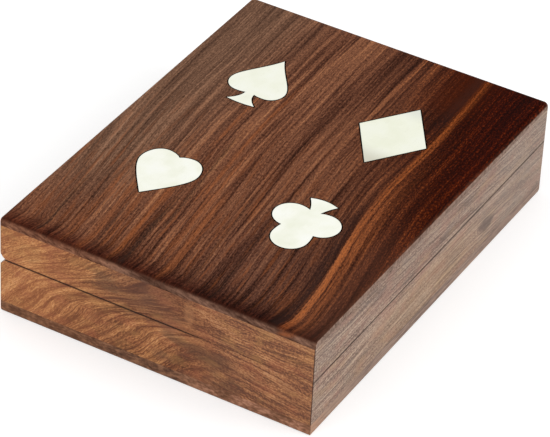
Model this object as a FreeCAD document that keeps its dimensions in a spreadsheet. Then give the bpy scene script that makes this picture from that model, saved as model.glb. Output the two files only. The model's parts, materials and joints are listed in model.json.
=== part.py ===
import FreeCAD, Part
import os
import Sketcher

# Hinged-lid wooden box for two decks of playing cards.  Millimetres.
# Frame: X along the length, front face towards -Y, hinges at +Y, +Z up.
# The origin is the middle of the underside.

Vector = FreeCAD.Vector
UPRIGHT = Vector(0, 0, 1)

SIZES = {
    # the closed box
    "outer_length": 155.0,
    "outer_depth": 114.0,
    "outer_height": 36.0,
    "seam_height": 20.5,        # where the lid is sawn from the base
    # boards
    "wall": 10.0,
    "bottom_thickness": 4.0,
    "top_thickness": 2.6,
    # sanded edges
    "corner_round": 0.4,        # upright corners
    "seam_arris": 0.2,          # edges along the seam
    "top_left_round": 2.0,      # each edge was sanded by hand, and none is like another
    "top_right_round": 0.7,
    "top_back_round": 0.4,
    "front_round_left": 0.4,    # the top front edge is rounded more and more
    "front_round_middle": 0.8,  # towards the right end
    "front_round_right": 2.4,
    "bottom_left_round": 0.5,
    "bottom_right_round": 2.0,
    "bottom_front_round": 0.4,
    "bottom_back_round": 1.5,
    # back edges, relieved so that the lid can swing past upright
    "lid_back_round": 3.5,
    "base_back_bevel": 2.0,
    # divider and linings
    "divider_thickness": 4.0,
    "divider_drop": 1.5,        # below the rim
    "dado_depth": 2.5,
    "dado_gap": 0.1,
    "notch_radius": 12.0,
    "notch_depth": 7.0,
    "lining_thickness": 0.8,
    "lining_gap": 0.4,
    # hinges
    "hinge_end_distance": 20.0,  # from the box's end to the hinge
    "hinge_width": 25.0,
    "pin_inset": 1.5,           # hinge axis in from the back face
    "knuckle_radius": 1.5,
    "lid_knuckle_length": 8.4,
    "knuckle_end_gap": 0.15,
    "knuckle_pocket_gap": 0.3,
    "pin_radius": 0.7,
    "pin_gap": 0.05,
    "leaf_thickness": 0.9,
    "leaf_depth": 7.0,
    "leaf_swing_gap": 0.15,
    "mortise_gap": 0.1,
    # countersunk screws
    "screw_spacing": 15.0,
    "screw_setback": 4.4,       # from the hinge axis
    "screw_radius": 0.9,
    "screw_length": 6.0,
    "screw_tip_length": 1.5,
    "screw_tip_radius": 0.2,
    "screw_head_radius": 1.7,
    "screw_gap": 0.05,
    "slot_width": 0.4,
    "slot_depth": 0.35,
    # inlays: place of each one's start point, its size and its turn in degrees
    "inlay_thickness": 1.2,
    "inlay_gap": 0.45,
    "spade_x": 20.2,
    "spade_y": 27.95,
    "spade_length": 28.95,
    "spade_width": 20.55,
    "spade_turn": 0.0,
    "heart_x": -41.25,
    "heart_y": 28.5,
    "heart_length": 24.75,
    "heart_width": 21.5,
    "heart_turn": -1.95,
    "club_x": -13.75,
    "club_y": -23.4,
    "club_length": 27.75,
    "club_width": 23.25,
    "club_turn": 180.0,
    "diamond_x": 13.05,
    "diamond_y": -22.95,
    "diamond_length": 36.4,
    "diamond_width": 25.05,
    "diamond_turn": -1.2,
}


class Size:
    """A length that knows its value and the spreadsheet expression behind it."""

    def __init__(self, value, text):
        self.value = value
        self.text = text

    def __add__(self, other):
        other = as_size(other)
        return Size(self.value + other.value, f"({self.text} + {other.text})")

    def __sub__(self, other):
        other = as_size(other)
        return Size(self.value - other.value, f"({self.text} - {other.text})")

    def __mul__(self, factor):
        return Size(self.value * factor, f"({self.text} * {factor})")

    def __truediv__(self, divisor):
        return Size(self.value / divisor, f"({self.text} / {divisor})")

    def __neg__(self):
        return self * -1

    __rmul__ = __mul__


def as_size(number):
    if isinstance(number, Size):
        return number
    return Size(float(number), str(float(number)))


class Dimensions:
    """The spreadsheet's cells, read by their aliases."""

    def __init__(self, sheet, sizes):
        for row, (alias, value) in enumerate(sizes.items(), start=1):
            sheet.set(f"A{row}", str(value))
            sheet.setAlias(f"A{row}", alias)
            setattr(self, alias, Size(value, f"{sheet.Name}.{alias}"))


doc = FreeCAD.newDocument("card_box")
dim = Dimensions(doc.addObject("Spreadsheet::Sheet", "Sizes"), SIZES)

# places that many pieces share
half_length = dim.outer_length / 2
half_depth = dim.outer_depth / 2
inner_half_length = half_length - dim.wall
inner_half_depth = half_depth - dim.wall
glue_height = dim.outer_height - dim.top_thickness
axis_y = half_depth - dim.pin_inset
ZERO = as_size(0)


# ---------------------------------------------------------------- making things

def bind(thing, prop, size):
    thing.setExpression(prop, as_size(size).text)


def place(thing, at):
    for letter, size in zip("xyz", at):
        bind(thing, f"Placement.Base.{letter}", size)
    return thing


def box(name, low, high):
    block = doc.addObject("Part::Box", name)
    for prop, start, end in zip(("Length", "Width", "Height"), low, high):
        bind(block, prop, as_size(end) - start)
    return place(block, low)


def rod(name, radius, length, at, along_x=False):
    """A cylinder that starts at a point and runs along +X or +Z."""
    cylinder = doc.addObject("Part::Cylinder", name)
    bind(cylinder, "Radius", radius)
    bind(cylinder, "Height", length)
    if along_x:
        cylinder.Placement.Rotation = FreeCAD.Rotation(Vector(0, 1, 0), 90)
    return place(cylinder, at)


def taper(name, low_radius, high_radius, height, at):
    cone = doc.addObject("Part::Cone", name)
    bind(cone, "Radius1", low_radius)
    bind(cone, "Radius2", high_radius)
    bind(cone, "Height", height)
    return place(cone, at)


def fuse(name, pieces):
    union = doc.addObject("Part::MultiFuse", name)
    union.Shapes = pieces
    return union


def common(name, pieces):
    overlap = doc.addObject("Part::MultiCommon", name)
    overlap.Shapes = pieces
    return overlap


def cut(name, base, tool):
    rest = doc.addObject("Part::Cut", name)
    rest.Base = base
    rest.Tool = tool
    return rest


# how a sketch constraint names the two ends of an edge, and the sketch's origin
START, END = 1, 2
ORIGIN = (-1, 1)
AXIS_LINE = {"X": -1, "Y": -2}


def origin_plane(body, role):
    return next(item for item in body.Origin.OriginFeatures if item.Role == role)


def hold(sketch, edge, end, axis, size):
    """Tie one coordinate of an edge's end to the sheet."""
    if size.value == 0:
        line = AXIS_LINE["Y" if axis == "X" else "X"]
        sketch.addConstraint(Sketcher.Constraint("PointOnObject", edge, end, line))
        return
    tie = Sketcher.Constraint(f"Distance{axis}", *ORIGIN, edge, end, size.value)
    number = sketch.addConstraint(tie)
    bind(sketch, f"Constraints[{number}]", size)


def draw(sketch, corners):
    """Draw a closed outline, anticlockwise.

    A corner is (x, y), reached by a straight line, or (x, y, radius), reached by
    an arc.  A negative radius makes the arc hollow.
    """
    points = [Vector(x.value, y.value, 0) for x, y, *radius in corners]
    following = corners[1:] + corners[:1]
    edge_ends = []
    for number, (start, end) in enumerate(zip(points, points[1:] + points[:1])):
        x, y, *radius = following[number]
        if radius:
            sketch.addGeometry(arc_between(start, end, radius[0].value), False)
        else:
            sketch.addGeometry(Part.LineSegment(start, end), False)
        first = sketch.getPoint(number, START)
        along = first.distanceToPoint(start) < first.distanceToPoint(end)
        edge_ends.append((START, END) if along else (END, START))
    for number, (x, y, *radius) in enumerate(following):
        after = (number + 1) % len(corners)
        end, start = edge_ends[number][1], edge_ends[after][0]
        sketch.addConstraint(Sketcher.Constraint("Coincident", number, end, after, start))
        hold(sketch, after, start, "X", x)
        hold(sketch, after, start, "Y", y)
        if radius:
            size = radius[0] if radius[0].value > 0 else -radius[0]
            tie = sketch.addConstraint(Sketcher.Constraint("Radius", number, size.value))
            bind(sketch, f"Constraints[{tie}]", size)


def arc_between(start, end, radius):
    """The short arc from start to end, bulging to the right of the way, or left if negative."""
    chord = end - start
    right = Vector(chord.y, -chord.x, 0).normalize()
    reach = abs(radius)
    rise = reach - (reach ** 2 - (chord.Length / 2) ** 2) ** 0.5
    top = (start + end) / 2 + right * (rise if radius > 0 else -rise)
    return Part.Arc(start, top, end)


def pad(name, plane, corners, length, at=None):
    """A body padded from an outline: up from XY, or both ways from XZ or YZ."""
    body = doc.addObject("PartDesign::Body", name)
    sketch = body.newObject("Sketcher::SketchObject", name + "_outline")
    sketch.AttachmentSupport = [(origin_plane(body, plane), "")]
    sketch.MapMode = "FlatFace"
    draw(sketch, corners)
    feature = body.newObject("PartDesign::Pad", name + "_pad")
    feature.Profile = sketch
    feature.Midplane = plane != "XY_Plane"
    bind(feature, "Length", length)
    if at:
        place(body, at)
    return body


# ------------------------------------------------------- outer forms of lid and base

def plan_form(name, low, high):
    """The box seen from above, with its upright corners rounded."""
    x, y, r = half_length, half_depth, dim.corner_round
    corners = [
        (-x + r, -y, r), (x - r, -y), (x, -y + r, r), (x, y - r),
        (x - r, y, r), (-x + r, y), (-x, y - r, r), (-x, -y + r),
    ]
    return pad(name, "XY_Plane", corners, high - low, (ZERO, ZERO, low))


def lid_form():
    """The whole outside of the lid as one block, before it is divided into boards."""
    low, high = dim.seam_height, dim.outer_height
    x, y, arris = half_length, half_depth, dim.seam_arris
    left, right = dim.top_left_round, dim.top_right_round
    front_view = [
        (-x, low + arris), (-x + arris, low), (x - arris, low), (x, low + arris),
        (x, high - right), (x - right, high, right), (-x + left, high), (-x, high - left, left),
    ]
    back, relief = dim.top_back_round, dim.lid_back_round
    side_view = [
        (-y, low + arris), (-y + arris, low), (y - relief, low), (y, low + relief, relief),
        (y, high - back), (y - back, high, back), (-y, high),
    ]
    block = common("lid_block", [
        plan_form("lid_plan", low, high),
        pad("lid_front_view", "XZ_Plane", front_view, dim.outer_depth),
        pad("lid_side_view", "YZ_Plane", side_view, dim.outer_length),
    ])
    return cut("lid_form", block, front_edge_waste())


def front_edge_waste():
    """What sanding takes off the lid's top front edge, more and more towards the right."""
    y, high = half_depth, dim.outer_height
    over = dim.top_thickness
    sections = []
    for name, at, radius in (
        ("left", -half_length, dim.front_round_left),
        ("middle", ZERO, dim.front_round_middle),
        ("right", half_length, dim.front_round_right),
    ):
        sketch = doc.addObject("Sketcher::SketchObject", f"front_edge_{name}")
        sketch.Placement.Rotation = FreeCAD.Rotation(Vector(1, 1, 1), 120)
        bind(sketch, "Placement.Base.x", at)
        draw(sketch, [
            (-y - over, high - radius), (-y, high - radius), (-y + radius, high, -radius),
            (-y + radius, high + over), (-y - over, high + over),
        ])
        sections.append(sketch)
    loft = doc.addObject("Part::Loft", "front_edge_waste")
    loft.Sections = sections
    loft.Solid = True
    loft.Ruled = False
    return loft


def base_form():
    """The whole outside of the base as one block, before it is divided into boards."""
    low, high = ZERO, dim.seam_height
    x, y, arris = half_length, half_depth, dim.seam_arris
    left, right = dim.bottom_left_round, dim.bottom_right_round
    front_view = [
        (-x, low + left), (-x + left, low, left), (x - right, low), (x, low + right, right),
        (x, high - arris), (x - arris, high), (-x + arris, high), (-x, high - arris),
    ]
    front, back, bevel = dim.bottom_front_round, dim.bottom_back_round, dim.base_back_bevel
    side_view = [
        (-y, low + front), (-y + front, low, front), (y - back, low), (y, low + back, back),
        (y, high - bevel), (y - bevel, high), (-y + arris, high), (-y, high - arris),
    ]
    return common("base_form", [
        plan_form("base_plan", low, high),
        pad("base_front_view", "XZ_Plane", front_view, dim.outer_depth),
        pad("base_side_view", "YZ_Plane", side_view, dim.outer_length),
    ])


def mitred_walls(owner, form, low, high):
    """The four walls of the lid or base: the form's rim, parted along its mitres."""
    x, y = half_length, half_depth
    inner_x, inner_y = inner_half_length, inner_half_depth
    plans = {
        "front": [(-x, -y), (x, -y), (inner_x, -inner_y), (-inner_x, -inner_y)],
        "right": [(x, -y), (x, y), (inner_x, inner_y), (inner_x, -inner_y)],
        "back": [(x, y), (-x, y), (-inner_x, inner_y), (inner_x, inner_y)],
        "left": [(-x, y), (-x, -y), (-inner_x, -inner_y), (-inner_x, inner_y)],
    }
    walls = {}
    for side, corners in plans.items():
        blank = pad(f"{owner}_{side}_blank", "XY_Plane", corners, high - low, (ZERO, ZERO, low))
        walls[side] = common(f"{owner}_{side}_wall", [form, blank])
    return walls


def slab(name, form, low, high):
    """The board between two heights of a form."""
    blank = box(name + "_blank", (-half_length, -half_depth, low), (half_length, half_depth, high))
    return common(name, [form, blank])


# ---------------------------------------------------------------- divider and linings

def dado(name, side):
    """The groove in the front (-1) or back (1) wall that houses the divider's end."""
    half_width = dim.divider_thickness / 2 + dim.dado_gap
    shallow = side * inner_half_depth
    deep = side * (inner_half_depth + dim.dado_depth)
    near, far = (shallow, deep) if side > 0 else (deep, shallow)
    return box(name, (-half_width, near, dim.bottom_thickness), (half_width, far, dim.seam_height))


def deck_divider():
    """The board between the wells, with a notch for a finger in its top edge."""
    half_width = dim.divider_thickness / 2
    reach = inner_half_depth + dim.dado_depth - dim.dado_gap
    top = dim.seam_height - dim.divider_drop
    board = box("divider_board", (-half_width, -reach, dim.bottom_thickness), (half_width, reach, top))
    centre_height = top + dim.notch_radius - dim.notch_depth
    notch = rod("divider_notch", dim.notch_radius, dim.divider_thickness,
                (-half_width, ZERO, centre_height), along_x=True)
    return cut("deck_divider", board, notch)


def well_lining(side):
    """The cloth on one well's floor."""
    y = inner_half_depth - dim.lining_gap
    near = dim.divider_thickness / 2 + dim.lining_gap
    far = inner_half_length - dim.lining_gap
    low = dim.bottom_thickness
    high = low + dim.lining_thickness
    if side == "left":
        return box("well_lining_left", (-far, -y, low), (-near, y, high))
    return box("well_lining_right", (near, -y, low), (far, y, high))


# ---------------------------------------------------------------- hinges

def leaf_heights(owner):
    """The lower and upper side of a hinge leaf, let into the lid or the base."""
    outer = dim.knuckle_radius
    inner = dim.knuckle_radius - dim.leaf_thickness
    if owner == "lid":
        return dim.seam_height + inner, dim.seam_height + outer
    return dim.seam_height - outer, dim.seam_height - inner


def knuckle_spans(owner, centre):
    """Where along X the leaf is rolled round the pin."""
    half_hinge = dim.hinge_width / 2
    half_knuckle = dim.lid_knuckle_length / 2
    if owner == "lid":
        return [(centre - half_knuckle, centre + half_knuckle)]
    clear = half_knuckle + dim.knuckle_end_gap
    return [(centre - half_hinge, centre - clear), (centre + clear, centre + half_hinge)]


def screw_places(centre):
    y = axis_y - dim.screw_setback
    return [(centre - dim.screw_spacing / 2, y), (centre + dim.screw_spacing / 2, y)]


def screw_solids(name, owner, at, grown, shank_length):
    """A screw's head and shank as a cone and a cylinder, or its hole when grown."""
    x, y = at
    low, high = leaf_heights(owner)
    head_radius = dim.screw_head_radius + grown
    shank_radius = dim.screw_radius + grown
    head = dim.screw_head_radius - dim.screw_radius
    if owner == "lid":
        cone = taper(name + "_head", head_radius, shank_radius, head, (x, y, low))
        shank = rod(name + "_shank", shank_radius, shank_length, (x, y, low + head))
    else:
        cone = taper(name + "_head", shank_radius, head_radius, head, (x, y, high - head))
        shank = rod(name + "_shank", shank_radius, shank_length, (x, y, high - head - shank_length))
    return [cone, shank]


def screw(name, owner, at):
    """A slotted countersunk screw, head towards the seam."""
    x, y = at
    low, high = leaf_heights(owner)
    head = dim.screw_head_radius - dim.screw_radius
    shank = dim.screw_length - head - dim.screw_tip_length
    solids = screw_solids(name, owner, at, ZERO, shank)
    thick, thin = dim.screw_radius, dim.screw_tip_radius
    if owner == "lid":
        solids.append(taper(name + "_tip", thick, thin, dim.screw_tip_length, (x, y, low + head + shank)))
        slot_low, slot_high = low, low + dim.slot_depth
    else:
        bottom = high - dim.screw_length
        solids.append(taper(name + "_tip", thin, thick, dim.screw_tip_length, (x, y, bottom)))
        slot_low, slot_high = high - dim.slot_depth, high
    reach, half_slot = dim.screw_head_radius, dim.slot_width / 2
    slot = box(name + "_slot", (x - reach, y - half_slot, slot_low), (x + reach, y + half_slot, slot_high))
    return cut(name, fuse(name + "_blank", solids), slot)


def hinge_leaf(side, owner, centre):
    """A brass leaf rolled round the pin, with two countersunk holes."""
    name = f"hinge_{side}_{owner}_leaf"
    half_hinge = dim.hinge_width / 2
    low, high = leaf_heights(owner)
    edge = axis_y - dim.knuckle_radius - dim.leaf_swing_gap
    solids = [box(name + "_plate", (centre - half_hinge, axis_y - dim.leaf_depth, low),
                  (centre + half_hinge, edge, high))]
    for number, (start, end) in enumerate(knuckle_spans(owner, centre)):
        solids.append(box(f"{name}_bend_{number}", (start, edge, low), (end, axis_y, high)))
        solids.append(rod(f"{name}_knuckle_{number}", dim.knuckle_radius, end - start,
                          (start, axis_y, dim.seam_height), along_x=True))
    holes = [rod(name + "_bore", dim.pin_radius + dim.pin_gap, dim.hinge_width,
                 (centre - half_hinge, axis_y, dim.seam_height), along_x=True)]
    for number, at in enumerate(screw_places(centre)):
        holes += screw_solids(f"{name}_hole_{number}", owner, at, dim.screw_gap, dim.leaf_thickness)
    return cut(name, fuse(name + "_blank", solids), fuse(name + "_holes", holes))


def hinge_pin(side, centre):
    return rod(f"hinge_{side}_pin", dim.pin_radius, dim.hinge_width,
               (centre - dim.hinge_width / 2, axis_y, dim.seam_height), along_x=True)


def hinge_seat(side, owner, centre):
    """What is cut from a back wall for one hinge: mortise, knuckle pocket and pilot holes."""
    name = f"{owner}_seat_{side}"
    half_seat = dim.hinge_width / 2 + dim.mortise_gap
    low, high = leaf_heights(owner)
    low, high = (dim.seam_height, high) if owner == "lid" else (low, dim.seam_height)
    near = axis_y - dim.leaf_depth - dim.mortise_gap
    tools = [
        box(name + "_mortise", (centre - half_seat, near, low), (centre + half_seat, axis_y, high)),
        rod(name + "_pocket", dim.knuckle_radius + dim.knuckle_pocket_gap, 2 * half_seat,
            (centre - half_seat, axis_y, dim.seam_height), along_x=True),
    ]
    radius = dim.screw_radius + dim.screw_gap
    head_sink = dim.knuckle_radius - dim.leaf_thickness
    depth = head_sink + dim.screw_length + dim.screw_gap
    for number, (x, y) in enumerate(screw_places(centre)):
        start = dim.seam_height if owner == "lid" else dim.seam_height - depth
        tools.append(rod(f"{name}_pilot_{number}", radius, depth, (x, y, start)))
    return fuse(name, tools)


# ---------------------------------------------------------------- inlays

# Half of each outline, from one end of the suit's middle line to the other, as shares
# of its length and of its half width.  One more point is a straight line, three more
# are a curve with two control points.
SPADE = [
    (-0.015, 0.0),
    [(-0.015, 0.17), (-0.010, 0.33), (0.0, 0.50)],
    [(0.058, 0.31), (0.123, 0.16), (0.212, 0.16)],
    [(0.198, 0.25), (0.195, 0.35), (0.195, 0.49)],
    [(0.195, 0.78), (0.276, 1.0), (0.386, 1.0)],
    [(0.545, 1.0), (0.722, 0.39), (1.0, 0.0)],
]
HEART = [
    (0.0, 0.0),
    [(0.245, 0.455), (0.505, 1.0), (0.692, 1.0)],
    [(0.859, 1.0), (1.0, 0.764), (1.0, 0.445)],
    [(1.0, 0.264), (0.974, 0.109), (0.933, 0.0)],
]
CLUB = [
    (-0.037, 0.0),
    [(-0.037, 0.14), (-0.022, 0.29), (0.0, 0.424)],
    [(0.057, 0.320), (0.121, 0.225), (0.206, 0.161)],
    [(0.187, 0.250), (0.177, 0.350), (0.177, 0.475)],
    [(0.177, 0.766), (0.275, 1.0), (0.396, 1.0)],
    [(0.517, 1.0), (0.614, 0.780), (0.620, 0.492)],
    [(0.670, 0.527), (0.720, 0.538), (0.773, 0.538)],
    [(0.900, 0.538), (1.0, 0.297), (1.0, 0.0)],
]
DIAMOND = [
    (0.0, 0.0),
    [(0.5, 1.0)],
    [(1.0, 0.0)],
]


def suit_outline(half, length, width):
    """The closed outline of a suit along +X, mirrored about its middle line."""
    def spot(share, side):
        return Vector(share[0] * length, side * share[1] * width / 2, 0)

    runs = []
    last = half[0]
    for run in half[1:]:
        runs.append([last] + run)
        last = run[-1]
    edges = []
    for run in runs:
        edges.append(run_edge([spot(share, -1) for share in run]))
    for run in reversed(runs):
        edges.append(run_edge([spot(share, 1) for share in reversed(run)]))
    return Part.Wire(edges)


def run_edge(points):
    if len(points) == 2:
        return Part.makeLine(*points)
    curve = Part.BezierCurve()
    curve.setPoles(points)
    return curve.toShape()


def grown_outline(outline, gap):
    """The outline moved out all round, with its offset curves turned into plain splines."""
    edges = []
    for edge in outline.makeOffset2D(gap).Edges:
        if edge.Curve.TypeId == "Part::GeomOffsetCurve":
            edge = edge.Curve.toBSpline(edge.FirstParameter, edge.LastParameter).toShape()
        edges.append(edge)
    return Part.Wire(Part.__sortEdges__(edges))


def inlay(suit, half):
    """One inlaid suit, and the tool that cuts its pocket a little larger."""
    length = getattr(dim, f"{suit}_length").value
    width = getattr(dim, f"{suit}_width").value
    turn = getattr(dim, f"{suit}_turn").value
    thickness = dim.inlay_thickness.value
    outline = suit_outline(half, length, width)
    piece = doc.addObject("Part::Feature", f"inlay_{suit}")
    piece.Shape = Part.Face(outline).extrude(UPRIGHT * thickness)
    tool = doc.addObject("Part::Feature", f"pocket_{suit}")
    pocket_outline = grown_outline(outline, dim.inlay_gap.value)
    pocket_face = Part.makeFace([pocket_outline], "Part::FaceMakerBullseye")
    tool.Shape = pocket_face.extrude(UPRIGHT * dim.top_thickness.value).removeSplitter()
    for thing in (piece, tool):
        thing.Placement.Rotation = FreeCAD.Rotation(UPRIGHT, turn)
        place(thing, (
            getattr(dim, f"{suit}_x"), getattr(dim, f"{suit}_y"),
            dim.outer_height - dim.inlay_thickness,
        ))
    return piece, tool


# ---------------------------------------------------------------- the whole box

def build():
    nodes = {}

    # lid: a board glued over four mitred walls, with the suits let in
    form = lid_form()
    pockets = []
    for suit, half in (("spade", SPADE), ("heart", HEART), ("club", CLUB), ("diamond", DIAMOND)):
        nodes[f"inlay_{suit}"], pocket = inlay(suit, half)
        pockets.append(pocket)
    board = slab("lid_top_blank", form, glue_height, dim.outer_height)
    nodes["lid_top_board"] = cut("lid_top_board", board, fuse("lid_pockets", pockets))
    lid_walls = mitred_walls("lid", form, dim.seam_height, glue_height)

    # base: four mitred walls glued on a board
    form = base_form()
    nodes["bottom_board"] = slab("bottom_board", form, ZERO, dim.bottom_thickness)
    base_walls = mitred_walls("base", form, dim.bottom_thickness, dim.seam_height)
    base_walls["front"] = cut("base_front_housed", base_walls["front"], dado("dado_front", -1))

    # inside
    nodes["deck_divider"] = deck_divider()
    nodes["well_lining_left"] = well_lining("left")
    nodes["well_lining_right"] = well_lining("right")

    # hinges and their seats in the two back walls
    seats = {"lid": [], "base": [dado("dado_back", 1)]}
    screws = {"lid": [], "base": []}
    hinge_place = half_length - dim.hinge_end_distance - dim.hinge_width / 2
    for side, centre in (("left", -hinge_place), ("right", hinge_place)):
        nodes[f"hinge_{side}_pin"] = hinge_pin(side, centre)
        for owner in ("lid", "base"):
            nodes[f"hinge_{side}_{owner}_leaf"] = hinge_leaf(side, owner, centre)
            seats[owner].append(hinge_seat(side, owner, centre))
            for number, at in enumerate(screw_places(centre)):
                screws[owner].append(screw(f"{owner}_screw_{side}_{number}", owner, at))
    for owner, walls in (("lid", lid_walls), ("base", base_walls)):
        walls["back"] = cut(f"{owner}_back_seated", walls["back"], fuse(f"{owner}_seats", seats[owner]))
        group = doc.addObject("Part::Compound", f"{owner}_hinge_screws")
        group.Links = screws[owner]
        nodes[f"{owner}_hinge_screws"] = group
        for side, wall in walls.items():
            nodes[f"{owner}_{side}_wall"] = wall
    return nodes


def label(nodes):
    """Give every piece its own name, and move that name off anything made on the way."""
    for item in doc.Objects:
        if item.Label in nodes and nodes[item.Label] is not item:
            item.Label = item.Label + "_stage"
    for name, piece in nodes.items():
        piece.Label = name


def check(nodes):
    for item in doc.Objects:
        bad = [state for state in item.State if state in ("Invalid", "Error")]
        if bad:
            raise RuntimeError(f"{item.Label} did not compute: {bad}")
    for name, piece in nodes.items():
        shape = piece.Shape
        if shape.isNull() or not shape.isValid() or not shape.Solids:
            raise RuntimeError(f"{name} has no sound solid")
        print(f"{name:24s} solids {len(shape.Solids)}  volume {shape.Volume:10.3f}")


def export(nodes):
    os.makedirs("parts", exist_ok=True)
    for name, piece in nodes.items():
        piece.Shape.exportStep(f"parts/{name}.step")


pieces = build()
doc.recompute()
label(pieces)
check(pieces)
export(pieces)
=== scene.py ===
import json
import math

import bpy
from mathutils import Matrix, Vector


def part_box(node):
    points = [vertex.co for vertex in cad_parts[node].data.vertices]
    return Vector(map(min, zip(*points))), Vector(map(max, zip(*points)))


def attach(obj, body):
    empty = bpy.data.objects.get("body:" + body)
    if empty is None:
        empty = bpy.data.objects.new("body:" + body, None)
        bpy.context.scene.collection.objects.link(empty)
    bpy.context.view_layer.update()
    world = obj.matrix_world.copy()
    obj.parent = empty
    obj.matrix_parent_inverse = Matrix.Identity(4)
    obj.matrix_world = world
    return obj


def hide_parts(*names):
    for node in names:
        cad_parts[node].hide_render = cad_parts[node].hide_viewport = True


# The looks of a rosewood box for two decks of cards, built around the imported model.
# Metres, in the model's own frame: X along the length, the front towards -Y, +Z up.
# Inside the finishes, places and sizes are in millimetres.

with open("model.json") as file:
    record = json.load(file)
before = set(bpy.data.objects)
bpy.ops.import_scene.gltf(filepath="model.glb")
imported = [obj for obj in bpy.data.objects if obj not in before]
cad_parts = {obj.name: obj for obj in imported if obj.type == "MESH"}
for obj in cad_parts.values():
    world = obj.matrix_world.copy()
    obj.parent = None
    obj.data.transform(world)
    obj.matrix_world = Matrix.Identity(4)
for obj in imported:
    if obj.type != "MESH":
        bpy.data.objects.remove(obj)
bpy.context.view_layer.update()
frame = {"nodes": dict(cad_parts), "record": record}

PER_METRE = 1000.0          # millimetres

# ---------------------------------------------------------------- sizes read from the model


def box_mm(node):
    """A node's lowest and highest corner in millimetres."""
    low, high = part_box(node)
    return low * PER_METRE, high * PER_METRE


HALF_LENGTH, HALF_DEPTH, TOP = box_mm("lid_top_board")[1]
SEAM = box_mm("base_front_wall")[1].z
POCKET_FLOOR = box_mm("inlay_heart")[0].z
SEAM_WIDTH = 0.50           # from the middle of the seam's groove to clean wood
PALE_EDGE_WIDTH = 1.3            # how far the paler edges reach in from an edge
MITRE_WIDTH = 0.34          # from the middle of a corner joint to clean wood


# ---------------------------------------------------------------- building finishes

class Wire:
    """A node's output that can be used in sums: each operator adds a Math node."""

    def __init__(self, nodes, socket):
        self.nodes = nodes
        self.socket = socket

    def __add__(self, other):
        return self.nodes.math("ADD", self, other)

    def __sub__(self, other):
        return self.nodes.math("SUBTRACT", self, other)

    def __rsub__(self, other):
        return self.nodes.math("SUBTRACT", other, self)

    def __mul__(self, other):
        return self.nodes.math("MULTIPLY", self, other)

    def __truediv__(self, other):
        return self.nodes.math("DIVIDE", self, other)

    def __abs__(self):
        return self.nodes.math("ABSOLUTE", self)

    __radd__ = __add__
    __rmul__ = __mul__


class Nodes:
    """The nodes of a material or a world, added one by one."""

    def __init__(self, owner):
        owner.use_nodes = True
        self.tree = owner.node_tree
        self.tree.nodes.clear()

    def node(self, kind, settings, inputs, output=0):
        """Add a node: its settings first, then the values or links of its sockets."""
        node = self.tree.nodes.new(kind)
        for name, value in settings.items():
            if name == "stops":
                set_stops(node.color_ramp, value)
            else:
                setattr(node, name, value)
        for key, value in inputs.items():
            if isinstance(value, Wire):
                self.tree.links.new(value.socket, node.inputs[key])
            else:
                node.inputs[key].default_value = value
        return Wire(self, node.outputs[output]) if node.outputs else None

    def math(self, operation, *values):
        return self.node("ShaderNodeMath", {"operation": operation}, dict(enumerate(values)))

    def axes(self, vector):
        """The three parts of a vector."""
        return [self.node("ShaderNodeSeparateXYZ", {}, {0: vector}, part) for part in range(3)]

    def point(self, x, y, z):
        return self.node("ShaderNodeCombineXYZ", {}, {0: x, 1: y, 2: z})

    def smooth(self, value, start, end):
        """0 up to start, 1 from end, and a soft step between."""
        settings = {"interpolation_type": "SMOOTHSTEP"}
        inputs = {"Value": value, "From Min": start, "From Max": end}
        return self.node("ShaderNodeMapRange", settings, inputs)

    def soft_least(self, value, limit, softness):
        """The value, held below a limit with a soft knee."""
        return self.math("SMOOTH_MIN", value, limit, softness)

    def soft_most(self, value, limit, softness):
        """The value, held above a limit with a soft knee."""
        return self.math("SMOOTH_MAX", value, limit, softness)

    def band(self, value, centre, half_width):
        """1 at the centre, falling softly to 0 a half width away on either side."""
        return 1 - self.smooth(abs(value - centre), 0.0, half_width)

    def noise(self, point, detail=2.0, roughness=0.5, distortion=0.0):
        inputs = {"Vector": point, "Scale": 1.0, "Detail": detail,
                  "Roughness": roughness, "Distortion": distortion}
        return self.node("ShaderNodeTexNoise", {}, inputs)

    def ramp(self, value, stops):
        return self.node("ShaderNodeValToRGB", {"stops": stops}, {0: value})

    def blend(self, share, first, second, way="MIX"):
        """Mix two colours by a share."""
        settings = {"data_type": "RGBA", "blend_type": way}
        return self.node("ShaderNodeMix", settings, {0: share, 6: first, 7: second}, 2)

    def stain(self, share, shade, tint, way="MULTIPLY"):
        """The shade with a tint laid over it, darker by multiplying or paler by screening."""
        return self.blend(share, shade, self.blend(1.0, shade, tint, way))

    def bump(self, height, strength, distance):
        inputs = {"Height": height, "Strength": strength, "Distance": distance}
        return self.node("ShaderNodeBump", {}, inputs)


class Finish(Nodes):
    """A material of the box, which knows where each spot is, in millimetres, and how it faces."""

    def __init__(self, name):
        self.material = bpy.data.materials.new(name)
        super().__init__(self.material)
        place = self.node("ShaderNodeTexCoord", {}, {}, "Object")
        self.spot = [part * PER_METRE for part in self.axes(place)]
        self.facing = self.axes(self.node("ShaderNodeTexCoord", {}, {}, "Normal"))

    def close(self, inputs):
        """End in one Principled shader with these inputs."""
        shader = self.node("ShaderNodeBsdfPrincipled", {}, inputs)
        self.node("ShaderNodeOutputMaterial", {}, {"Surface": shader})
        return self.material


def set_stops(ramp, stops):
    """Give a colour ramp its stops, each a place and a colour."""
    while len(ramp.elements) < len(stops):
        ramp.elements.new(1.0)
    for element, (place, shade) in zip(ramp.elements, stops):
        element.position = place
        element.color = shade


def colour(red, green, blue):
    """A colour as a screen shows it, 0 to 255, made linear."""
    def linear(level):
        share = level / 255.0
        return share / 12.92 if share <= 0.04045 else ((share + 0.055) / 1.055) ** 2.4
    return (linear(red), linear(green), linear(blue), 1.0)


GLUE_AND_SHADE = colour(30, 15, 9)        # old glue and painted shade in the narrow gaps around the inlays


# ---------------------------------------------------------------- wood

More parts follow.
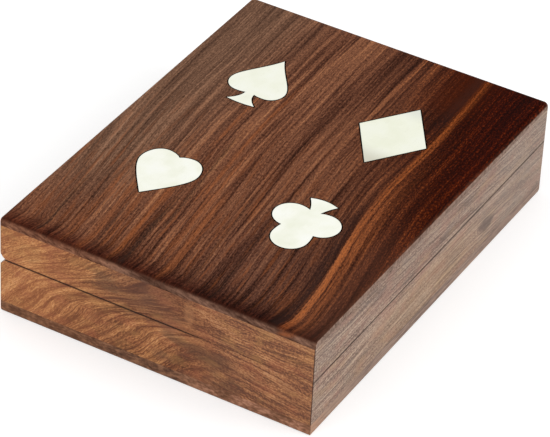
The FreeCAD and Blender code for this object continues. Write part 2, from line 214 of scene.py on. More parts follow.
class Grain:
    """Streaks and pores that follow the wood's fibres: across is constant along a fibre."""

    def __init__(self, finish, along, across, depth):
        self.finish = finish
        self.along = along
        self.across = across
        self.depth = depth

    def streaks(self, run, pitch, seed, detail=1.0, weight=1.0):
        """Streaks about run millimetres long and twice pitch apart, weight strong, round 0."""
        place = self.finish.point(self.along / run + seed, self.across / pitch, self.depth / pitch)
        return (self.finish.noise(place, detail) - 0.5) * weight

    def pores(self, run, pitch, seed, start=0.60):
        """Open pores: short fine dashes along the fibres, 1 in a pore and 0 between."""
        return self.finish.smooth(self.streaks(run, pitch, seed) + 0.5, start, start + 0.12)


def clouds(finish, x, y, z, spread, rise, seed):
    """Soft patches, spread wide and rise high."""
    return finish.noise(finish.point(x / spread + seed, y / spread, z / rise), 2.0)


def spot(finish, x, z, centre_x, centre_z, half_length, half_height):
    """1 in the middle of a small long spot, fading to 0 at its rim."""
    far_x = (x - centre_x) / half_length
    far_z = (z - centre_z) / half_height
    return 1 - finish.smooth(far_x * far_x + far_z * far_z, 0.1, 1.0)


def pale_edges(finish, x, y, z):
    """1 on the box's outer edges, in uneven patches, where the finishes make the wood paler, and 0
    inside the faces.
    """
    def near(value, limit):
        return finish.smooth(abs(value), limit - PALE_EDGE_WIDTH, limit)
    end = near(x, HALF_LENGTH)
    side = near(y, HALF_DEPTH)
    level = near(z - TOP / 2, TOP / 2)
    edges = finish.math("MAXIMUM", end * side, finish.math("MAXIMUM", end * level, side * level))
    return edges * (clouds(finish, x, y, z, 5.0, 5.0, 0.7) * 1.6 - 0.2)


def mitre_line(finish, x, y):
    """1 on the fine dark joint where two walls meet at a corner, and 0 away from it."""
    past = (HALF_LENGTH - abs(x)) - (HALF_DEPTH - abs(y))
    return 1 - finish.smooth(abs(past), MITRE_WIDTH * 0.5, MITRE_WIDTH)


def painted_seam_shade(finish, z, inward, facing_z, width):
    """1 on the fine gap between lid and base, seen from outside, where its shade is painted, and 0
    on the rims.
    """
    outside = finish.smooth(inward, 4.0, 1.5) * finish.smooth(abs(facing_z), 0.96, 0.80)
    return finish.band(z, SEAM, width) * outside


# single streaks in the lid's top: middle across the grain, half width, start, end and strength
WARM_STREAKS = (
    (33.7, 1.3, -80.0, -20.0, 0.270),
    (27.4, 1.8, -82.0, -20.0, 0.252),
    (22.0, 1.4, -76.0, -30.0, 0.234),
    (16.2, 1.6, -80.0, -6.0, 0.396),
    (13.9, 1.0, -10.0, 44.0, 0.306),
    (4.9, 1.1, -40.0, 48.0, 0.360),
    (1.9, 1.2, -66.0, 4.0, 0.288),
    (-1.4, 1.6, -80.0, -20.0, 0.378),
)
DARK_STREAKS = (
    (42.7, 1.5, -84.0, -30.0, 0.64),
    (24.6, 0.9, -90.0, -36.0, 0.44),
    (12.2, 1.7, -92.0, -26.0, 0.72),
    (9.1, 1.3, -60.0, 14.0, 0.56),
    (-10.0, 1.2, -84.0, -16.0, 0.42),
    (-20.0, 1.2, -84.0, -10.0, 0.40),
)
STREAK_FADE_IN, STREAK_FADE_OUT = 12.0, 24.0
# the one bright streak near the front and the paler wood before it: middle and half width
BRIGHT_STREAK = (-46.5, 2.3)
BRIGHT_SHOULDER = (-49.8, 4.8)
# how far in from the board's edge the pockets of the inlays may begin
POCKETS_FROM, POCKETS_SURE = 4.0, 6.0


def rosewood_top():
    """The lid's top board: dark streaky rosewood with its grain along X."""
    wood = Finish("rosewood_top")
    x, y, z = wood.spot
    facing_x, facing_y = wood.facing[:2]

    # the grain climbs towards the back over the left half and nearly levels out; the front
    # rows bend more, and the last of the left end curls up
    climb_back = 9.1 + x * 0.028 + wood.soft_least(x, 5.0, 30.0) * 0.088
    climb_front = (8.2 - y * 0.04) * wood.smooth(x, -76.0, 10.0) + 2.2 * wood.smooth(x, 30.0, 90.0)
    front_row = wood.smooth(y, -20.0, -38.0)
    climb = climb_back + (climb_front - climb_back) * front_row
    curl = 1.0 + 0.7 * wood.smooth(y, -24.0, 0.0) + 0.9 * wood.smooth(y, 32.0, 44.0)
    curl = curl * wood.smooth(x, -69.0, -80.0)
    curl = curl + 1.2 * wood.band(y, -45.0, 10.0) * wood.smooth(x, -70.0, -80.0)
    drift = wood.noise(wood.point(x / 42.0, y / 16.0, z / 16.0), 2.0) - 0.5
    jitter = wood.noise(wood.point(x / 3.5, y / 1.1, z * 0.3), 2.0) - 0.5
    across = y - climb - curl + drift * 1.8 + jitter * 0.5
    grain = Grain(wood, x, across, z * 0.3)

    zones = grain.streaks(120.0, 8.0, 7.7, 1.0, 0.30)
    toward = x * 0.3 - y
    calm = 1.04 - 0.40 * wood.smooth(toward, 30.0, 60.0) - 0.08 * wood.smooth(y, 30.0, 48.0)
    bands = grain.streaks(80.0, 2.1, 2.6, 1.0, 0.80) * calm
    rings = grain.streaks(60.0, 0.90, 3.1, 1.0, 0.72) * calm
    lines = grain.streaks(14.0, 0.44, 1.3, 1.0, 0.42)
    fibres = grain.streaks(1.1, 0.40, 4.4, 2.0, 1.00)
    pore = grain.pores(2.8, 0.26, 5.2, 0.60)

    tone = 0.5 + zones + bands + rings + lines + fibres
    # one bright streak near the front, with a dark band behind it that fades in the middle
    left = 1 - wood.smooth(x, -40.0, 4.0)
    right = wood.smooth(x, 36.0, 62.0)
    core = wood.band(across, *BRIGHT_STREAK) * (0.74 + left * 0.26 + right * 0.08)
    lower = wood.band(across, *BRIGHT_SHOULDER) * (1 - wood.smooth(x, -20.0, 40.0)) * 0.42
    bright = core * (1 - 0.34 * wood.band(x, -10.0, 16.0)) + lower
    dark = wood.smooth(across, -39.6, -43.6) * wood.smooth(across, -45.8, -44.2)
    dark = dark * (0.14 + left * 0.86 + right * 0.92)
    tone = tone + bright * 0.18 - dark * 0.22
    tone = tone - 0.06 * wood.smooth(x, 15.0, 70.0) * wood.smooth(toward, 12.0, 36.0)
    # the streaks darken as they run out at the left end
    tone = tone - 0.16 * wood.smooth(x, -54.0, -75.0) * wood.smooth(y, 30.0, 12.0) * (1 - bright)
    # a warm streak across the left third
    warm = wood.band(across, 4.6, 2.6) * wood.smooth(x, -20.0, -60.0)
    tone = tone + warm * 0.17

    plain = wood.ramp(tone, [
        (0.10, colour(44, 22, 13)),
        (0.32, colour(80, 46, 32)),
        (0.52, colour(113, 71, 51)),
        (0.72, colour(144, 94, 66)),
        (0.94, colour(180, 122, 83)),
    ])
    # paler and greyer at the back, a painted sheen
    grey = wood.ramp(tone, [
        (0.10, colour(62, 40, 30)),
        (0.50, colour(110, 79, 61)),
        (0.90, colour(158, 117, 91)),
    ])
    shade = wood.blend(wood.smooth(y, 16.0, 48.0) * wood.smooth(x, -74.0, -20.0), plain, grey)
    # redder and darker towards the front right corner
    red = wood.ramp(tone + fibres * 0.5 * wood.smooth(toward, 20.0, 56.0), [
        (0.10, colour(24, 3, 0)),
        (0.34, colour(41, 8, 0)),
        (0.54, colour(64, 20, 3)),
        (0.74, colour(102, 43, 12)),
        (0.94, colour(146, 74, 28)),
    ])
    shade = wood.blend(wood.smooth(toward, 4.0, 58.0), shade, red)
    deep = wood.smooth(toward, 40.0, 66.0) * 0.85
    shade = wood.stain(deep, shade, colour(206, 150, 110))
    # the left of the front half is browner, and the top darkens towards the rounded left end
    brown = wood.smooth(y, 2.0, -22.0) * wood.smooth(x, 0.0, -50.0) * (1 - bright)
    shade = wood.stain(brown, shade, colour(212, 214, 226))
    darker_left_end = wood.smooth(x, -67.0, -77.0)
    shade = wood.stain(darker_left_end, shade, colour(178, 142, 134))
    glow = wood.smooth(wood.noise(wood.point(x / 18.0, across / 1.2, z), 1.0), 0.48, 0.68)
    glow = glow * wood.smooth(x, 40.0, -50.0) * wood.smooth(toward, 50.0, 10.0)
    glow = glow * (0.34 + rings * 0.8 + lines * 1.4 + fibres * 0.6)
    shade = wood.blend(glow * (1 - darker_left_end), shade, colour(142, 78, 40))

    def streak(middle, half_width, start, end):
        """1 in the middle of a single streak, which fades in from the left and out again."""
        begun = wood.smooth(x, start, start + STREAK_FADE_IN)
        reach = begun * wood.smooth(x, end, end - STREAK_FADE_OUT)
        return wood.band(across, middle, half_width) * reach

    for *place, strength in WARM_STREAKS:
        warmth = strength + rings * 0.8 + lines * 1.4 + fibres * 0.8
        shade = wood.blend(streak(*place) * warmth, shade, colour(166, 94, 50))
    for *place, strength in DARK_STREAKS:
        shade = wood.blend(streak(*place) * (strength - fibres), shade, colour(42, 28, 22))
    ember = bright * (0.34 + rings * 2.0 + lines * 1.4 + fibres * 1.2) * (1 - darker_left_end * 0.5)
    shade = wood.blend(ember, shade, colour(180, 98, 46))
    shade = wood.blend(dark * (0.62 - fibres), shade, colour(44, 28, 24))

    # a little paler along the left of the front edge, and redder at the right of the diamond
    pale_strip = wood.smooth(y, -45.0, -50.0) * wood.smooth(x, 0.0, -34.0)
    shade = wood.blend(pale_strip * 0.16, shade, colour(118, 74, 56))
    ruddy = wood.smooth(x, 44.0, 60.0) * wood.band(y, -30.0, 16.0)
    shade = wood.blend(ruddy * 0.30, shade, colour(92, 34, 4))

    # the ends show slanting rings, and the long edges a paler, greyer face of the board, partly
    # its own colour and partly painted sheen as on the long walls
    ends = wood.smooth(abs(facing_x), 0.50, 0.94)
    slant = Grain(wood, y, z - y * 0.22, x)
    end_tone = 0.5 + slant.streaks(18.0, 3.0, 2.8, 2.0, 1.1)
    end_tone = end_tone + slant.streaks(2.4, 0.8, 6.1, 2.0, 1.1)
    end_shade = wood.ramp(end_tone, [
        (0.20, colour(72, 46, 36)),
        (0.50, colour(112, 80, 65)),
        (0.80, colour(152, 112, 92)),
    ])
    warm_end = wood.ramp(end_tone, [
        (0.20, colour(90, 56, 42)),
        (0.50, colour(136, 90, 68)),
        (0.80, colour(186, 130, 98)),
    ])
    end_shade = wood.blend(wood.smooth(y, 6.0, 30.0) * 0.8, end_shade, warm_end)
    end_shade = wood.blend(wood.band(y, 0.0, 26.0) * 0.24, end_shade, colour(76, 50, 38))
    patch = wood.band(y + (z - 34.0) * 1.6, -45.5, 3.6) * wood.smooth(z, 33.4, 34.4)
    end_shade = wood.blend(patch * 0.75, end_shade, colour(160, 92, 56))
    shade = wood.blend(ends * 0.9, shade, end_shade)
    # the turn of the rounded edge is the darkest
    turn = wood.band(abs(facing_x), 0.50, 0.42)
    shade = wood.blend(turn * 0.5, shade, colour(56, 28, 20))
    long_edges = wood.smooth(abs(facing_y), 0.85, 0.97)
    edge_shade = wood.ramp(0.5 + rings + fibres, [
        (0.25, colour(112, 90, 79)),
        (0.75, colour(164, 138, 122)),
    ])
    shade = wood.blend(long_edges, shade, edge_shade)

    shade = wood.blend(pale_edges(wood, x, y, z) * 0.22, shade, colour(150, 104, 82))
    shade = wood.blend(pore * 0.45, shade, colour(32, 14, 8))
    # glue and painted shade darken the walls and floors of the inlays' pockets
    def well_in(value, limit):
        return wood.smooth(abs(value), limit - POCKETS_FROM, limit - POCKETS_SURE)
    sunk = wood.smooth(z, TOP - 0.05, TOP - 0.25)
    sunk = sunk * wood.smooth(z, POCKET_FLOOR - 0.6, POCKET_FLOOR - 0.3)
    inside = well_in(x, HALF_LENGTH) * well_in(y, HALF_DEPTH)
    shade = wood.blend(sunk * inside, shade, GLUE_AND_SHADE)

    return wood.close({
        "Base Color": shade,
        "Roughness": 0.46 + rings * 0.25 + pore * 0.2,
        "Specular IOR Level": 0.012,
        "Normal": wood.bump(fibres - pore, 0.25, 0.0001),
    })


def rosewood_long_side():
    """The long walls: greyish pink-brown rosewood, straight fine grain along X; the grey paleness
    is partly the wood's own colour and partly painted sheen.
    """
    wood = Finish("rosewood_long_side")
    x, y, z = wood.spot
    facing_z = wood.facing[2]

    # in the lid the grain falls from the left on; in the base it rises a little, then falls
    high_fall = 3.2 + wood.soft_most(x, -40.0, 20.0) * 0.08
    low_fall = wood.soft_most(x, 14.0, 20.0) * 0.12 - x * 0.04
    fall = low_fall + (high_fall - low_fall) * wood.smooth(z, 8.0, 32.0)
    drift = wood.noise(wood.point(x / 40.0, y / 30.0, z / 12.0), 1.0) - 0.5
    grain = Grain(wood, x, z + fall + drift * 1.5, y * 0.5)

    zones = grain.streaks(50.0, 4.0, 2.4, 1.0, 0.42)
    rings = grain.streaks(34.0, 0.66, 9.1, 1.0, 1.00)
    lines = grain.streaks(22.0, 0.44, 4.6, 1.0, 1.34)
    fibres = grain.streaks(0.9, 0.34, 6.2, 2.0, 1.95)
    pore = grain.pores(2.0, 0.28, 8.8, 0.57)

    # the rings stand out more in some places than in others, and more in the lid
    plainer = clouds(wood, x, y, z, 22.0, 5.0, 6.0)
    in_lid = wood.smooth(z, SEAM - 3.0, SEAM + 3.0)
    rings = rings * (0.6 + 1.4 * wood.smooth(plainer, 0.42, 0.66)) * (0.72 + 0.28 * in_lid)
    tone = 0.5 + zones + rings + lines + fibres
    # the paler, greyer colours are partly the wood's own and partly painted sheen
    shade = wood.ramp(tone, [
        (0.10, colour(104, 81, 69)),
        (0.34, colour(137, 111, 97)),
        (0.54, colour(157, 130, 113)),
        (0.74, colour(176, 150, 131)),
        (0.94, colour(198, 172, 150)),
    ])
    # patches that lean to pink, to straw and to grey
    patch = clouds(wood, x, y, z, 9.0, 4.0, 3.0)
    shade = wood.blend(wood.smooth(patch, 0.50, 0.68) * 0.36, shade, colour(168, 122, 104))
    shade = wood.blend(wood.smooth(patch, 0.47, 0.30) * 0.26, shade, colour(134, 124, 114))
    straw = clouds(wood, x, y, z, 14.0, 5.0, 8.0)
    shade = wood.blend(wood.smooth(straw, 0.52, 0.70) * 0.30, shade, colour(184, 150, 114))
    # the right end is greyer, and the middle of the base leans to straw
    shade = wood.blend(wood.smooth(x, 20.0, 64.0) * 0.28, shade, colour(150, 138, 128))
    low_straw = wood.band(x, -8.0, 60.0) * wood.smooth(z, SEAM, SEAM - 6.0)
    shade = wood.blend(low_straw * 0.26, shade, colour(172, 136, 94))
    # a small knot low in the right half, and a fainter one in the lid
    bent_x = x + (patch - 0.5) * 12.0
    bent_z = z + (straw - 0.5) * 7.0 + lines * 1.2
    knot = spot(wood, bent_x, bent_z, 37.0, 11.4, 8.0, 3.2) * (0.75 + rings)
    faint = spot(wood, bent_x, bent_z, -36.0, 28.2, 6.0, 2.4)
    shade = wood.blend(knot * 0.85 + faint * 0.36, shade, colour(92, 78, 74))
    # the lid's front is a little darker than the base's
    lid_share = wood.smooth(z, SEAM - 0.3, SEAM + 0.3) * (0.6 - 0.36 * wood.smooth(x, 26.0, 60.0))
    shade = wood.stain(lid_share, shade, colour(236, 236, 238))

    shade = wood.blend(pale_edges(wood, x, y, z) * 0.12, shade, colour(196, 166, 144))
    shade = wood.blend(mitre_line(wood, x, y) * 0.8, shade, colour(50, 30, 26))
    # painted shade in the gap between lid and base
    seam = painted_seam_shade(wood, z, HALF_DEPTH - abs(y), facing_z, SEAM_WIDTH * 1.15)
    shade = wood.blend(seam * 0.95, shade, colour(42, 25, 19))
    shade = wood.blend(pore * 0.34, shade, colour(84, 62, 54))
    return wood.close({
        "Base Color": shade,
        "Roughness": 0.52 + rings * 0.2,
        "Specular IOR Level": 0.12,
        "Normal": wood.bump(fibres - pore, 0.2, 0.0001),
    })


def rosewood_short_side():
    """The short walls: warm orange-brown rosewood with a swirling figure, grain along Y."""
    wood = Finish("rosewood_short_side")
    x, y, z = wood.spot
    facing_z = wood.facing[2]

    # from the back the grain climbs steeply, less so higher up, and bends over; from the
    # middle on it runs level in the lid and falls gently in the base
    along = 58.0 - y            # from the back edge on
    bend_start, bend_run = 58.0, 32.0
    turn = wood.node("ShaderNodeClamp", {}, {0: (along - bend_start) / bend_run})
    past = wood.math("MAXIMUM", along - (bend_start + bend_run), 0.0)
    bent = bend_run * (turn * turn * turn * (1 - turn * 0.5)) + past
    steep = 1 - 0.30 * wood.smooth(z, 14.0, 30.0)
    fall = (along - 97.0) * (0.03 + 0.12 * wood.smooth(z, 24.0, 10.0))
    swirl = wood.noise(wood.point(x / 20.0, y / 19.0, z / 11.0), 1.0, 0.5) - 0.5
    jitter = wood.noise(wood.point(x, y / 1.3, z / 1.3), 1.0) - 0.5
    rising = Grain(wood, along, z - (along - bent) * steep + swirl * 5.0 + jitter * 0.6, x * 0.3)
    level = Grain(wood, along, z + fall + swirl * 2.5 + jitter * 0.4, x * 0.3)
    over = wood.smooth(along + wood.math("MAXIMUM", z - 16.0, 0.0), 68.0, 86.0)

    def figure(run, pitch, seed, detail, weight):
        """Streaks that climb at the back and run level from the middle on."""
        first = rising.streaks(run, pitch, seed, detail, weight)
        second = level.streaks(run, pitch, seed, detail, weight)
        return first * (1 - over) + second * over

    zones = figure(18.0, 4.6, 1.9, 1.0, 0.78)
    rings = figure(12.0, 1.50, 6.4, 1.0, 0.94)
    strokes = figure(3.5, 0.66, 3.3, 1.0, 0.56)
    fibres = figure(0.8, 0.44, 8.2, 2.0, 1.36)
    growth = wood.band(figure(40.0, 3.6, 4.9, 1.0, 1.0), 0.0, 0.055)
    pore = wood.smooth(figure(1.6, 0.36, 7.1, 1.0, 1.0), 0.10, 0.22)
    # towards the front the figure calms down to fine straight lines
    front = wood.smooth(along, 66.0, 90.0)
    in_lid = wood.smooth(z, SEAM - 2.0, SEAM + 2.0)
    straight = level.streaks(20.0, 0.60, 5.8, 1.0, 1.3) * (1 + 0.35 * in_lid) * front
    tone = 0.5 + (zones + rings) * (1 - 0.10 * front) + strokes
    tone = tone + fibres * (1 + 0.3 * front) + straight
    shade = wood.ramp(tone, [
        (0.10, colour(99, 58, 37)),
        (0.32, colour(136, 84, 53)),
        (0.52, colour(171, 112, 71)),
        (0.72, colour(197, 135, 85)),
        (0.92, colour(219, 159, 109)),
    ])
    # thin dark lines where a year's growth ended
    shade = wood.blend(growth * (0.76 - 0.50 * front + fibres * 0.4), shade, colour(98, 54, 36))
    # lighter at the back, browner where the grain bends over and at the front
    back = wood.smooth(along, 46.0, 10.0)
    shade = wood.stain(back * 0.34, shade, colour(190, 112, 66), "SCREEN")
    low_light = wood.band(along, 54.0, 18.0) * wood.smooth(z, 22.0, 16.0)
    eased = (0.3 + 0.35 * wood.smooth(z, SEAM, SEAM + 4.0)) * wood.smooth(along, 76.0, 100.0)
    brown = wood.smooth(along, 34.0, 56.0) * (1 - low_light) * (1 - eased)
    shade = wood.stain(brown * 0.72, shade, colour(218, 212, 222))
    shade = wood.blend(front * 0.16, shade, colour(160, 118, 98))
    hue = clouds(wood, x, y, z, 9.0, 4.0, 2.0)
    shade = wood.blend(wood.smooth(hue, 0.50, 0.70) * 0.36, shade, colour(160, 92, 66))
    shade = wood.blend(wood.smooth(hue, 0.46, 0.30) * 0.30, shade, colour(186, 136, 84))
    # ragged dark clouds beside the bend, and one light spot above the seam
    bent_y = y + (hue - 0.5) * 26.0 + rings * 8.0
    bent_z = z + swirl * 12.0 + rings * 4.0
    dark = wood.math("MAXIMUM", spot(wood, bent_y, bent_z, 16.0, 28.4, 8.0, 4.2),
                     wood.math("MAXIMUM", spot(wood, bent_y, bent_z, -16.0, 13.0, 15.0, 3.2),
                               spot(wood, bent_y, bent_z, -27.0, 7.0, 6.0, 5.0)))
    dark = dark * (0.50 + strokes + rings)
    shade = wood.blend(dark, shade, colour(86, 60, 46))
    light = spot(wood, y + strokes * 5.0, z + rings * 6.0, -12.8, 28.2, 2.4, 5.6)
    shade = wood.blend(light * 0.34, shade, colour(204, 144, 98))
    cloud = clouds(wood, x, y, z, 13.0, 6.0, 5.0)
    clouded = wood.smooth(cloud, 0.50, 0.68) * wood.band(along, 66.0, 44.0)
    shade = wood.blend(clouded * 0.42, shade, colour(104, 74, 58))
    dusk = wood.band(y, 4.0, 24.0) * wood.smooth(z, SEAM, SEAM + 4.0)
    shade = wood.blend(dusk * 0.42, shade, colour(102, 70, 56))

    shade = wood.blend(pale_edges(wood, x, y, z) * 0.14, shade, colour(200, 150, 114))
    shade = wood.blend(mitre_line(wood, x, y) * 0.8, shade, colour(60, 32, 24))
    # painted shade in the gap between lid and base, strongest from near the middle to the back
    open_seam = 0.25 + 0.75 * wood.smooth(y, -22.0, -10.0)
    seam = painted_seam_shade(wood, z, HALF_LENGTH - abs(x), facing_z, SEAM_WIDTH * 1.2)
    shade = wood.blend(seam * open_seam, shade, colour(32, 12, 7))
    shade = wood.blend(pore * 0.38, shade, colour(88, 50, 32))
    return wood.close({
        "Base Color": shade,
        "Roughness": 0.48 + rings * 0.2,
        "Specular IOR Level": 0.12,
        "Normal": wood.bump(fibres - pore, 0.2, 0.0001),
    })


def rosewood_bottom():
    """The bottom board: brown rosewood, its grain along X and its ends darker."""
    wood = Finish("rosewood_bottom")
    x, y, z = wood.spot
    facing_x, facing_y = wood.facing[:2]
    drift = wood.noise(wood.point(x / 40.0, y / 18.0, z / 18.0), 1.0) - 0.5
    grain = Grain(wood, x, y + drift * 5.0, z)
    zones = grain.streaks(120.0, 8.0, 5.5, 1.0, 0.6)
    rings = grain.streaks(80.0, 1.2, 2.2, 2.0, 0.9)
    lines = grain.streaks(20.0, 0.5, 8.3, 2.0, 0.8)
    fibres = grain.streaks(1.2, 0.4, 6.6, 2.0, 0.8)
    pore = grain.pores(3.0, 0.28, 1.1, 0.60)
    tone = 0.5 + zones + rings + lines + fibres
    shade = wood.ramp(tone, [
        (0.12, colour(70, 43, 32)),
        (0.40, colour(108, 72, 54)),
        (0.62, colour(138, 96, 70)),
        (0.90, colour(170, 122, 88)),
    ])
    # the long edges match the walls above them, with the same partly painted sheen
    long_edges = wood.smooth(abs(facing_y), 0.7, 0.95)
    level = Grain(wood, x, z, y)
    edge_tone = 0.5 + level.streaks(30.0, 0.8, 2.9, 1.0, 0.9)
    edge_tone = edge_tone + level.streaks(4.0, 0.4, 1.9, 2.0, 0.9)
    edge_shade = wood.ramp(edge_tone, [
        (0.20, colour(104, 84, 74)),
        (0.50, colour(142, 118, 105)),
        (0.80, colour(176, 148, 130)),
    ])
    pale_left = wood.smooth(x, -40.0, -66.0) * 0.5
    edge_shade = wood.blend(pale_left, edge_shade, colour(178, 144, 122))
    edge_shade = wood.blend(wood.smooth(x, -66.0, -76.0) * 0.3, edge_shade, colour(200, 142, 104))
    shade = wood.blend(long_edges, shade, edge_shade)
    # the ends show blotchy end grain, dark at the back and paler and pinker at the front
    ends = wood.smooth(abs(facing_x), 0.7, 0.95)
    blotch = Grain(wood, y, z, x)
    end_tone = 0.5 + blotch.streaks(6.0, 2.4, 4.1, 2.0, 1.4)
    end_tone = end_tone + blotch.streaks(1.6, 0.8, 3.7, 2.0, 1.4)
    end_shade = wood.ramp(end_tone, [
        (0.20, colour(78, 50, 36)),
        (0.50, colour(114, 78, 58)),
        (0.80, colour(150, 106, 78)),
    ])
    pale_end = wood.ramp(end_tone, [
        (0.20, colour(108, 71, 50)),
        (0.55, colour(147, 101, 76)),
        (0.85, colour(186, 134, 106)),
    ])
    end_shade = wood.blend(wood.smooth(y, 8.0, 32.0) * 0.2, end_shade, colour(154, 98, 62))
    shade = wood.blend(ends, shade, wood.blend(wood.smooth(y, -4.0, -26.0), end_shade, pale_end))
    shade = wood.blend(pale_edges(wood, x, y, z) * 0.15, shade, colour(190, 150, 120))
    shade = wood.blend(pore * 0.3, shade, colour(58, 36, 27))
    return wood.close({
        "Base Color": shade,
        "Roughness": 0.55 + rings * 0.2,
        "Specular IOR Level": 0.12,
        "Normal": wood.bump(lines - pore, 0.2, 0.0001),
    })


# ---------------------------------------------------------------- bone, brass and felt

def bone():
    """Polished bone: off-white with faint greenish clouds and fine lengthwise canals."""
    face = Finish("bone")
    x, y, z = face.spot
    cloud = face.noise(face.point(x / 9.0, y / 9.0, z / 9.0), 2.0)
    canal = face.noise(face.point(x / 5.0, y / 0.5, z / 0.5), 2.0)
    shade = face.ramp(cloud, [
        (0.30, colour(240, 242, 224)),
        (0.50, colour(248, 249, 236)),
        (0.70, colour(252, 253, 246)),
    ])
    # the right pair is yellower, most of all the diamond, whose two sharp ends are greyer as a
    # painted reflection
    diamond = face.smooth(x, 0.0, 12.0) * face.smooth(y, 0.0, -8.0)
    yellower = face.smooth(x, 0.0, 12.0) * 0.26 + diamond * 0.24
    shade = face.blend(yellower, shade, colour(234, 237, 212))
    shade = face.blend(diamond * face.smooth(x, 24.0, 15.0) * 0.85, shade, colour(205, 202, 184))
    shade = face.blend(diamond * face.smooth(x, 41.0, 48.0) * 0.60, shade, colour(214, 217, 208))
    shade = face.blend(face.smooth(canal, 0.58, 0.75) * 0.18, shade, colour(216, 214, 196))
    # the upright sides in the narrow gap take the glue and painted shade
    shade = face.blend(face.smooth(abs(face.facing[2]), 0.7, 0.3), shade, GLUE_AND_SHADE)
    return face.close({
        "Base Color": shade,
        "Roughness": 0.28 + (cloud - 0.5) * 0.2,
        "Specular IOR Level": 0.3,
        "Normal": face.bump(canal, 0.05, 0.0001),
    })


def brass():
    """Satin brass with a little tarnish in patches and fine drawn lines."""
    metal = Finish("brass")
    x, y, z = metal.spot
    tarnish = metal.noise(metal.point(x / 3.0, y / 3.0, z / 3.0), 3.0)
    drawn = metal.noise(metal.point(x / 6.0, y / 0.15, z / 0.15), 1.0)
    shade = metal.ramp(tarnish, [
        (0.35, colour(186, 146, 78)),
        (0.55, colour(214, 176, 100)),
        (0.75, colour(230, 196, 124)),
    ])
    return metal.close({
        "Base Color": shade,
        "Metallic": 1.0,
        "Roughness": 0.30 + (tarnish - 0.5) * 0.3 + (drawn - 0.5) * 0.1,
        "Normal": metal.bump(drawn, 0.1, 0.00005),
    })


def felt():
    """Dark red felt: short fibres in all directions and a soft nap."""
    cloth = Finish("felt")
    x, y, z = cloth.spot
    fibre = cloth.noise(cloth.point(x / 0.35, y / 0.35, z / 0.35), 4.0, 0.6, 1.5)
    nap = cloth.noise(cloth.point(x / 9.0, y / 6.0, z), 2.0)
    shade = cloth.ramp(fibre, [
        (0.25, colour(70, 10, 16)),
        (0.50, colour(112, 20, 28)),
        (0.75, colour(146, 38, 44)),
    ])
    shade = cloth.blend(cloth.smooth(nap, 0.45, 0.65) * 0.25, shade, colour(140, 34, 42))
    return cloth.close({
        "Base Color": shade,
        "Roughness": 0.95,
        "Specular IOR Level": 0.1,
        "Sheen Weight": 0.35,
        "Sheen Roughness": 0.5,
        "Normal": cloth.bump(fibre, 0.5, 0.0003),
    })


def dress_nodes():
    """Give every node of the model the finish of its slot."""
    finishes = {
        "rosewood_top": rosewood_top(),
        "rosewood_long_side": rosewood_long_side(),
        "rosewood_short_side": rosewood_short_side(),
        "rosewood_bottom": rosewood_bottom(),
        "bone": bone(),
        "brass": brass(),
        "felt": felt(),
    }
    for entry in frame["record"]["subparts"]:
        node = frame["nodes"][entry["node"]]
        node.material_slots[0].material = finishes[entry["material_slot"]]
    return finishes


# ---------------------------------------------------------------- felt linings

FELT_COLUMNS = 40
FELT_RISE = 0.00012             # how far the glue lifts it, in metres
FELT_SOFT_EDGE = 0.0002
SMOOTH_ANGLE = math.radians(40.0)


def deselect_all():
    if bpy.context.object and bpy.context.object.mode != "OBJECT":
        bpy.ops.object.mode_set(mode="OBJECT")
    bpy.ops.object.select_all(action="DESELECT")


def settle(piece):
    """Put a piece's place into its mesh, so that its object sits at the origin."""
    piece.data.transform(piece.matrix_world)
    piece.matrix_world = Matrix.Identity(4)


def felt_lining(node, material):
    """One well's felt: a thin sheet, a little uneven where the glue has taken."""
    low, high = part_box(node)
    size = high - low
    deselect_all()
    rows = round(FELT_COLUMNS * size.y / size.x)
    bpy.ops.mesh.primitive_grid_add(x_subdivisions=FELT_COLUMNS, y_subdivisions=rows, size=1.0)
    sheet = bpy.context.object
    sheet.name = node + "_felt"
    sheet.scale = (size.x, size.y, 1.0)
    sheet.location = ((low.x + high.x) / 2, (low.y + high.y) / 2, low.z)
    bpy.context.view_layer.update()
    settle(sheet)
    for vertex in sheet.data.vertices:
        x, y = vertex.co.x * PER_METRE, vertex.co.y * PER_METRE
        ripple = math.sin(x * 0.21 + 1.7 * math.sin(y * 0.09)) * math.sin(y * 0.17 + 0.6)
        vertex.co.z += FELT_RISE * (0.5 + 0.5 * ripple)
    thicken = sheet.modifiers.new("thickness", "SOLIDIFY")
    thicken.thickness = size.z - FELT_RISE
    thicken.offset = 1.0
    bpy.ops.object.modifier_apply(modifier=thicken.name)
    soften = sheet.modifiers.new("soft_edge", "BEVEL")
    soften.width = FELT_SOFT_EDGE
    soften.segments = 2
    bpy.ops.object.modifier_apply(modifier=soften.name)
    sheet.data.materials.append(material)
    bpy.ops.object.shade_smooth_by_angle(angle=SMOOTH_ANGLE)
    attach(sheet, "base")
    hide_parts(node)


# ---------------------------------------------------------------- floor, light and camera

WHITE = (1.0, 1.0, 1.0, 1.0)
FLOOR_SIZE = 6.0
FLOOR_GREY = (0.70, 0.70, 0.70, 1.0)
FLOOR_GLOW = 0.45               # lifts the floor to white where it is seen
SKY_LIGHT = 0.69                # what the sky sheds on the box
LAMP_SIZE = 1.2
KEY_LAMP = ((0.1, -1.6, 1.2), 15.0)     # place in metres and power in watts
FILL_LAMP = ((-1.6, 0.5, 1.2), 8.0)


def white_to_the_eye(nodes):
    """1 for what is seen directly, in a reflection or through glass, and 0 for light."""
    path = [nodes.node("ShaderNodeLightPath", {}, {}, ray)
            for ray in ("Is Camera Ray", "Is Glossy Ray", "Is Transmission Ray")]
    return nodes.math("MAXIMUM", path[0], nodes.math("MAXIMUM", path[1], path[2]))


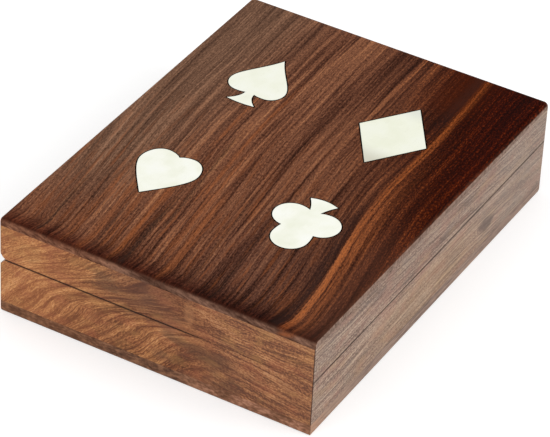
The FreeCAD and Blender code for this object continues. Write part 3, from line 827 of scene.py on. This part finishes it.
def floor():
    """A pale floor that shows as white and keeps the box's shadow."""
    deselect_all()
    bpy.ops.mesh.primitive_plane_add(size=FLOOR_SIZE, location=(0.0, 0.0, 0.0))
    ground = bpy.context.object
    ground.name = "floor"
    material = bpy.data.materials.new("pale_floor")
    paper = Nodes(material)
    matt = paper.node("ShaderNodeBsdfDiffuse", {}, {"Color": FLOOR_GREY})
    glow = paper.node("ShaderNodeEmission", {}, {"Color": WHITE, "Strength": FLOOR_GLOW})
    seen = paper.node("ShaderNodeAddShader", {}, {0: matt, 1: glow})
    surface = paper.node("ShaderNodeMixShader", {}, {0: white_to_the_eye(paper), 1: matt, 2: seen})
    paper.node("ShaderNodeOutputMaterial", {}, {"Surface": surface})
    ground.data.materials.append(material)


def sky():
    """Even pale light from all round, white where it is seen."""
    world = bpy.data.worlds.new("studio")
    bpy.context.scene.world = world
    air = Nodes(world)
    light = air.node("ShaderNodeBackground", {}, {"Color": WHITE, "Strength": SKY_LIGHT})
    seen = air.node("ShaderNodeBackground", {}, {"Color": WHITE, "Strength": 1.0})
    surface = air.node("ShaderNodeMixShader", {}, {0: white_to_the_eye(air), 1: light, 2: seen})
    air.node("ShaderNodeOutputWorld", {}, {"Surface": surface})


def soft_light(name, place, power):
    """A square soft light that faces the box."""
    lamp = bpy.data.lights.new(name, "AREA")
    lamp.size = LAMP_SIZE
    lamp.energy = power
    light = bpy.data.objects.new(name, lamp)
    bpy.context.scene.collection.objects.link(light)
    light.location = place
    light.rotation_euler = (-Vector(place)).to_track_quat("-Z", "Y").to_euler()


CAMERA_AIM = Vector((-0.003164, -0.000163, 0.014078))
CAMERA_DISTANCE = 1.120155
CAMERA_AZIMUTH = -61.336        # degrees round from the front, negative to the left
CAMERA_ELEVATION = 36.049
CAMERA_ROLL = 3.060
CAMERA_LENS = 225.68
CAMERA_SENSOR = 36.0
CAMERA_REACH = 20.0             # metres


def camera():
    """The camera, aimed at the box from its front left and from above."""
    azimuth, elevation = math.radians(CAMERA_AZIMUTH), math.radians(CAMERA_ELEVATION)
    back = Vector((
        math.sin(azimuth) * math.cos(elevation),
        -math.cos(azimuth) * math.cos(elevation),
        math.sin(elevation),
    ))
    eye = bpy.data.objects.new("camera", bpy.data.cameras.new("camera"))
    bpy.context.scene.collection.objects.link(eye)
    turn = (-back).to_track_quat("-Z", "Y").to_matrix()
    roll = Matrix.Rotation(math.radians(CAMERA_ROLL), 3, "Z")
    place = CAMERA_AIM + back * CAMERA_DISTANCE
    eye.matrix_world = Matrix.LocRotScale(place, (turn @ roll).to_quaternion(), None)
    eye.data.lens = CAMERA_LENS
    eye.data.sensor_width = CAMERA_SENSOR
    eye.data.clip_end = CAMERA_REACH
    bpy.context.scene.camera = eye


# ---------------------------------------------------------------- putting it together

camera()
materials = dress_nodes()
for well in ("left", "right"):
    felt_lining(f"well_lining_{well}", materials["felt"])
floor()
sky()
soft_light("key", *KEY_LAMP)
soft_light("fill", *FILL_LAMP)
bpy.context.scene.view_settings.view_transform = "Standard"
